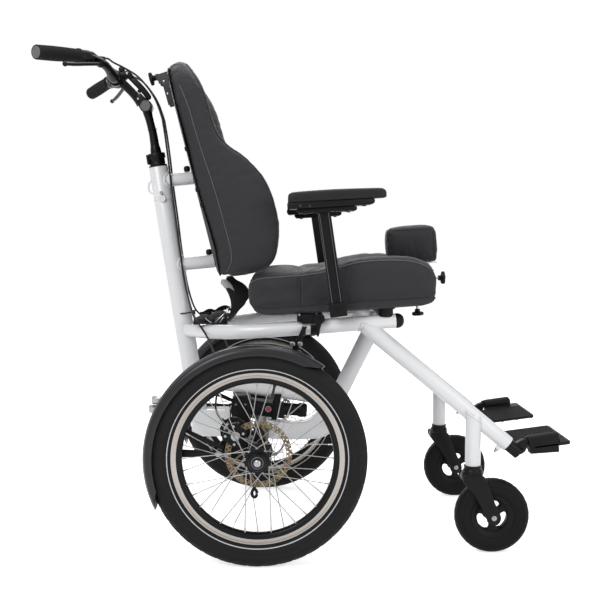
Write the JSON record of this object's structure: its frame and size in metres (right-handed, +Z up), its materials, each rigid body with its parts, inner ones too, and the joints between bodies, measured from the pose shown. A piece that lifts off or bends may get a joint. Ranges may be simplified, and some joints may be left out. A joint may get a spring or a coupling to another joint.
{
  "type": "wheelchair bike front unit",
  "caption": "Wheeled seat unit of a wheelchair bike: padded seat and back on a tube frame, spoked rear wheels, swivel casters, folding footrests and a push bar.",
  "frame": {"origin": "on the floor, under the middle of the whole unit's bounding box", "axes": "+X the way the rider faces, +Y to the rider's left, +Z up"},
  "size_m": [1.2747, 0.76, 1.2281],
  "materials": {
    "white_paint": "gloss",
    "black_paint": "satin",
    "black_plastic": "satin",
    "black_anodised": "satin",
    "tyre_rubber": "matte",
    "rubber": "matte",
    "upholstery": "satin",
    "webbing": "matte",
    "silver": "satin",
    "silver_bar": "satin",
    "rotor_steel": "satin",
    "red_plastic": "gloss"
  },
  "bodies": {
    "frame": {"mast_tube": "white_paint", "side_frame_right": "white_paint", "side_frame_left": "white_paint", "keel_frame": "white_paint", "axle_beam": "black_paint", "coupling_pins": "silver", "lock_unit": "black_plastic", "fender_right": "black_plastic", "fender_left": "black_plastic", "brake_caliper_right": "black_anodised", "brake_caliper_left": "black_anodised", "seat_clamp_right": "black_plastic", "seat_clamp_left": "black_plastic", "seat_pan": "black_plastic", "seat_cushion": "upholstery", "stem_collar": "black_anodised", "hip_belt": "webbing", "pommel_bracket": "black_paint", "brake_hose_right": "rubber", "brake_hose_left": "rubber"},
    "rear_wheel_right": {"tyre_right": "tyre_rubber", "wheel_right": "silver", "rotor_right": "rotor_steel"},
    "rear_wheel_left": {"tyre_left": "tyre_rubber", "wheel_left": "silver", "rotor_left": "rotor_steel"},
    "caster_swivel_right": {"caster_fork_right": "black_anodised"},
    "caster_roller_right": {"caster_tyre_right": "tyre_rubber", "caster_wheel_right": "black_plastic"},
    "caster_swivel_left": {"caster_fork_left": "black_anodised"},
    "caster_roller_left": {"caster_tyre_left": "tyre_rubber", "caster_wheel_left": "black_plastic"},
    "footrest_right": {"footrest_bar_right": "black_anodised"},
    "foot_plate_right": {"footplate_right": "black_plastic"},
    "footrest_left": {"footrest_bar_left": "black_anodised"},
    "foot_plate_left": {"footplate_left": "black_plastic"},
    "steering_post": {"stem_post": "black_anodised"},
    "steering_bar": {"stem_arm": "black_anodised", "handlebar": "black_anodised", "grip_right": "rubber", "grip_left": "rubber"},
    "steering_lock": {"stem_lever": "black_anodised"},
    "hand_brake_right": {"brake_lever_right": "black_anodised"},
    "hand_brake_left": {"brake_lever_left": "black_anodised"},
    "backrest": {"back_shell": "black_plastic", "back_cushion": "upholstery"},
    "armrest_right": {"armrest_post_right": "black_anodised", "armpad_right": "rubber"},
    "armrest_left": {"armrest_post_left": "black_anodised", "armpad_left": "rubber"},
    "pommel": {"pommel_bar": "silver_bar", "pommel_pad": "upholstery"},
    "pommel_knob_body": {"pommel_knob": "black_plastic"},
    "seat_knob_body": {"seat_knob": "black_plastic"},
    "headrest_knob_body": {"headrest_knob": "black_plastic"},
    "stub_knob_upper_body": {"stub_knob_upper": "black_plastic"},
    "stub_knob_lower_body": {"stub_knob_lower": "black_plastic"},
    "clamp_lever_right": {"seat_clamp_lever_right": "black_plastic"},
    "clamp_lever_left": {"seat_clamp_lever_left": "black_plastic"},
    "button": {"release_button": "red_plastic"}
  },
  "joints": [
    {"name": "wheel_spin_right", "type": "hinge", "parent": "frame", "child": "rear_wheel_right", "pos_m": [-0.12, -0.325, 0.255], "axis": [0, 1, 0], "continuous": true},
    {"name": "wheel_spin_left", "type": "hinge", "parent": "frame", "child": "rear_wheel_left", "pos_m": [-0.12, 0.325, 0.255], "axis": [0, 1, 0], "continuous": true},
    {"name": "caster_turn_right", "type": "hinge", "parent": "frame", "child": "caster_swivel_right", "pos_m": [0.4, -0.235, 0.2135], "axis": [0, 0, 1], "continuous": true},
    {"name": "caster_spin_right", "type": "hinge", "parent": "caster_swivel_right", "child": "caster_roller_right", "pos_m": [0.447, -0.235, 0.0905], "axis": [0, 1, 0], "continuous": true},
    {"name": "caster_turn_left", "type": "hinge", "parent": "frame", "child": "caster_swivel_left", "pos_m": [0.4, 0.235, 0.2135], "axis": [0, 0, 1], "continuous": true},
    {"name": "caster_spin_left", "type": "hinge", "parent": "caster_swivel_left", "child": "caster_roller_left", "pos_m": [0.447, 0.235, 0.0905], "axis": [0, 1, 0], "continuous": true},
    {"name": "footrest_length_right", "type": "slide", "parent": "frame", "child": "footrest_right", "axis": [0.7663, -0.1222, -0.6308], "range_m": [0, 0.05]},
    {"name": "footplate_fold_right", "type": "hinge", "parent": "footrest_right", "child": "foot_plate_right", "pos_m": [0.532, -0.235, 0.2735], "axis": [0.9978, 0, 0.0665], "range_deg": [0, 95]},
    {"name": "footrest_length_left", "type": "slide", "parent": "frame", "child": "footrest_left", "axis": [0.7663, 0.1222, -0.6308], "range_m": [0, 0.05]},
    {"name": "footplate_fold_left", "type": "hinge", "parent": "footrest_left", "child": "foot_plate_left", "pos_m": [0.532, 0.235, 0.2735], "axis": [-0.9978, 0, -0.0665], "range_deg": [0, 95]},
    {"name": "steering_height", "type": "slide", "parent": "frame", "child": "steering_post", "axis": [-0.1514, 0, 0.9885], "range_m": [-0.05, 0.05], "deforming": ["brake_hose_right", "brake_hose_left"]},
    {"name": "steering_tilt", "type": "hinge", "parent": "steering_post", "child": "steering_bar", "pos_m": [-0.42, 0, 1.109], "axis": [0, -1, 0], "range_deg": [-8, 30], "deforming": ["brake_hose_right", "brake_hose_left"]},
    {"name": "steering_lock_lever", "type": "hinge", "parent": "steering_bar", "child": "steering_lock", "pos_m": [-0.469, 0, 1.1945], "axis": [0, -1, 0], "range_deg": [0, 10]},
    {"name": "brake_squeeze_right", "type": "hinge", "parent": "steering_bar", "child": "hand_brake_right", "pos_m": [-0.506, -0.154, 1.193], "axis": [-0.4105, 0.3863, -0.826], "range_deg": [0, 9], "stiffness_Nm_per_rad": 2, "springref_deg": -2.86},
    {"name": "brake_squeeze_left", "type": "hinge", "parent": "steering_bar", "child": "hand_brake_left", "pos_m": [-0.506, 0.154, 1.193], "axis": [0.4105, 0.3863, 0.826], "range_deg": [0, 9], "stiffness_Nm_per_rad": 2, "springref_deg": -2.86},
    {"name": "back_depth", "type": "slide", "parent": "frame", "child": "backrest", "axis": [0.9954, 0, 0.0958], "range_m": [0, 0.03]},
    {"name": "armrest_height_right", "type": "slide", "parent": "frame", "child": "armrest_right", "axis": [-0.1441, 0, 0.9896], "range_m": [0, 0.07]},
    {"name": "armrest_height_left", "type": "slide", "parent": "frame", "child": "armrest_left", "axis": [-0.1441, 0, 0.9896], "range_m": [0, 0.07]},
    {"name": "pommel_height", "type": "slide", "parent": "frame", "child": "pommel", "axis": [0, 0, 1], "range_m": [0, 0.045]},
    {"name": "pommel_knob_turn", "type": "hinge", "parent": "frame", "child": "pommel_knob_body", "pos_m": [0.3246, 0, 0.659], "axis": [1, 0, 0], "continuous": true},
    {"name": "seat_knob_turn", "type": "hinge", "parent": "frame", "child": "seat_knob_body", "pos_m": [0.296, 0, 0.59334], "axis": [0.0639, 0, -0.998], "continuous": true},
    {"name": "headrest_knob_turn", "type": "hinge", "parent": "backrest", "child": "headrest_knob_body", "pos_m": [-0.40036, 0, 1.18291], "axis": [-0.9703, 0, -0.2419], "continuous": true},
    {"name": "stub_knob_turn_upper", "type": "hinge", "parent": "frame", "child": "stub_knob_upper_body", "pos_m": [-0.31471, 0, 0.94026], "axis": [-0.0958, 0, 0.9954], "continuous": true},
    {"name": "stub_knob_turn_lower", "type": "hinge", "parent": "frame", "child": "stub_knob_lower_body", "pos_m": [-0.25771, 0, 0.72107], "axis": [-0.0958, 0, 0.9954], "continuous": true},
    {"name": "clamp_release_right", "type": "hinge", "parent": "frame", "child": "clamp_lever_right", "pos_m": [0.0265, -0.2059, 0.569], "axis": [0, -1, 0], "range_deg": [0, 90]},
    {"name": "clamp_release_left", "type": "hinge", "parent": "frame", "child": "clamp_lever_left", "pos_m": [0.0265, 0.2059, 0.569], "axis": [0, -1, 0], "range_deg": [0, 90]},
    {"name": "button_press", "type": "slide", "parent": "frame", "child": "button", "axis": [0, 1, 0], "range_m": [0, 0.003], "stiffness_N_per_m": 600}
  ]
}
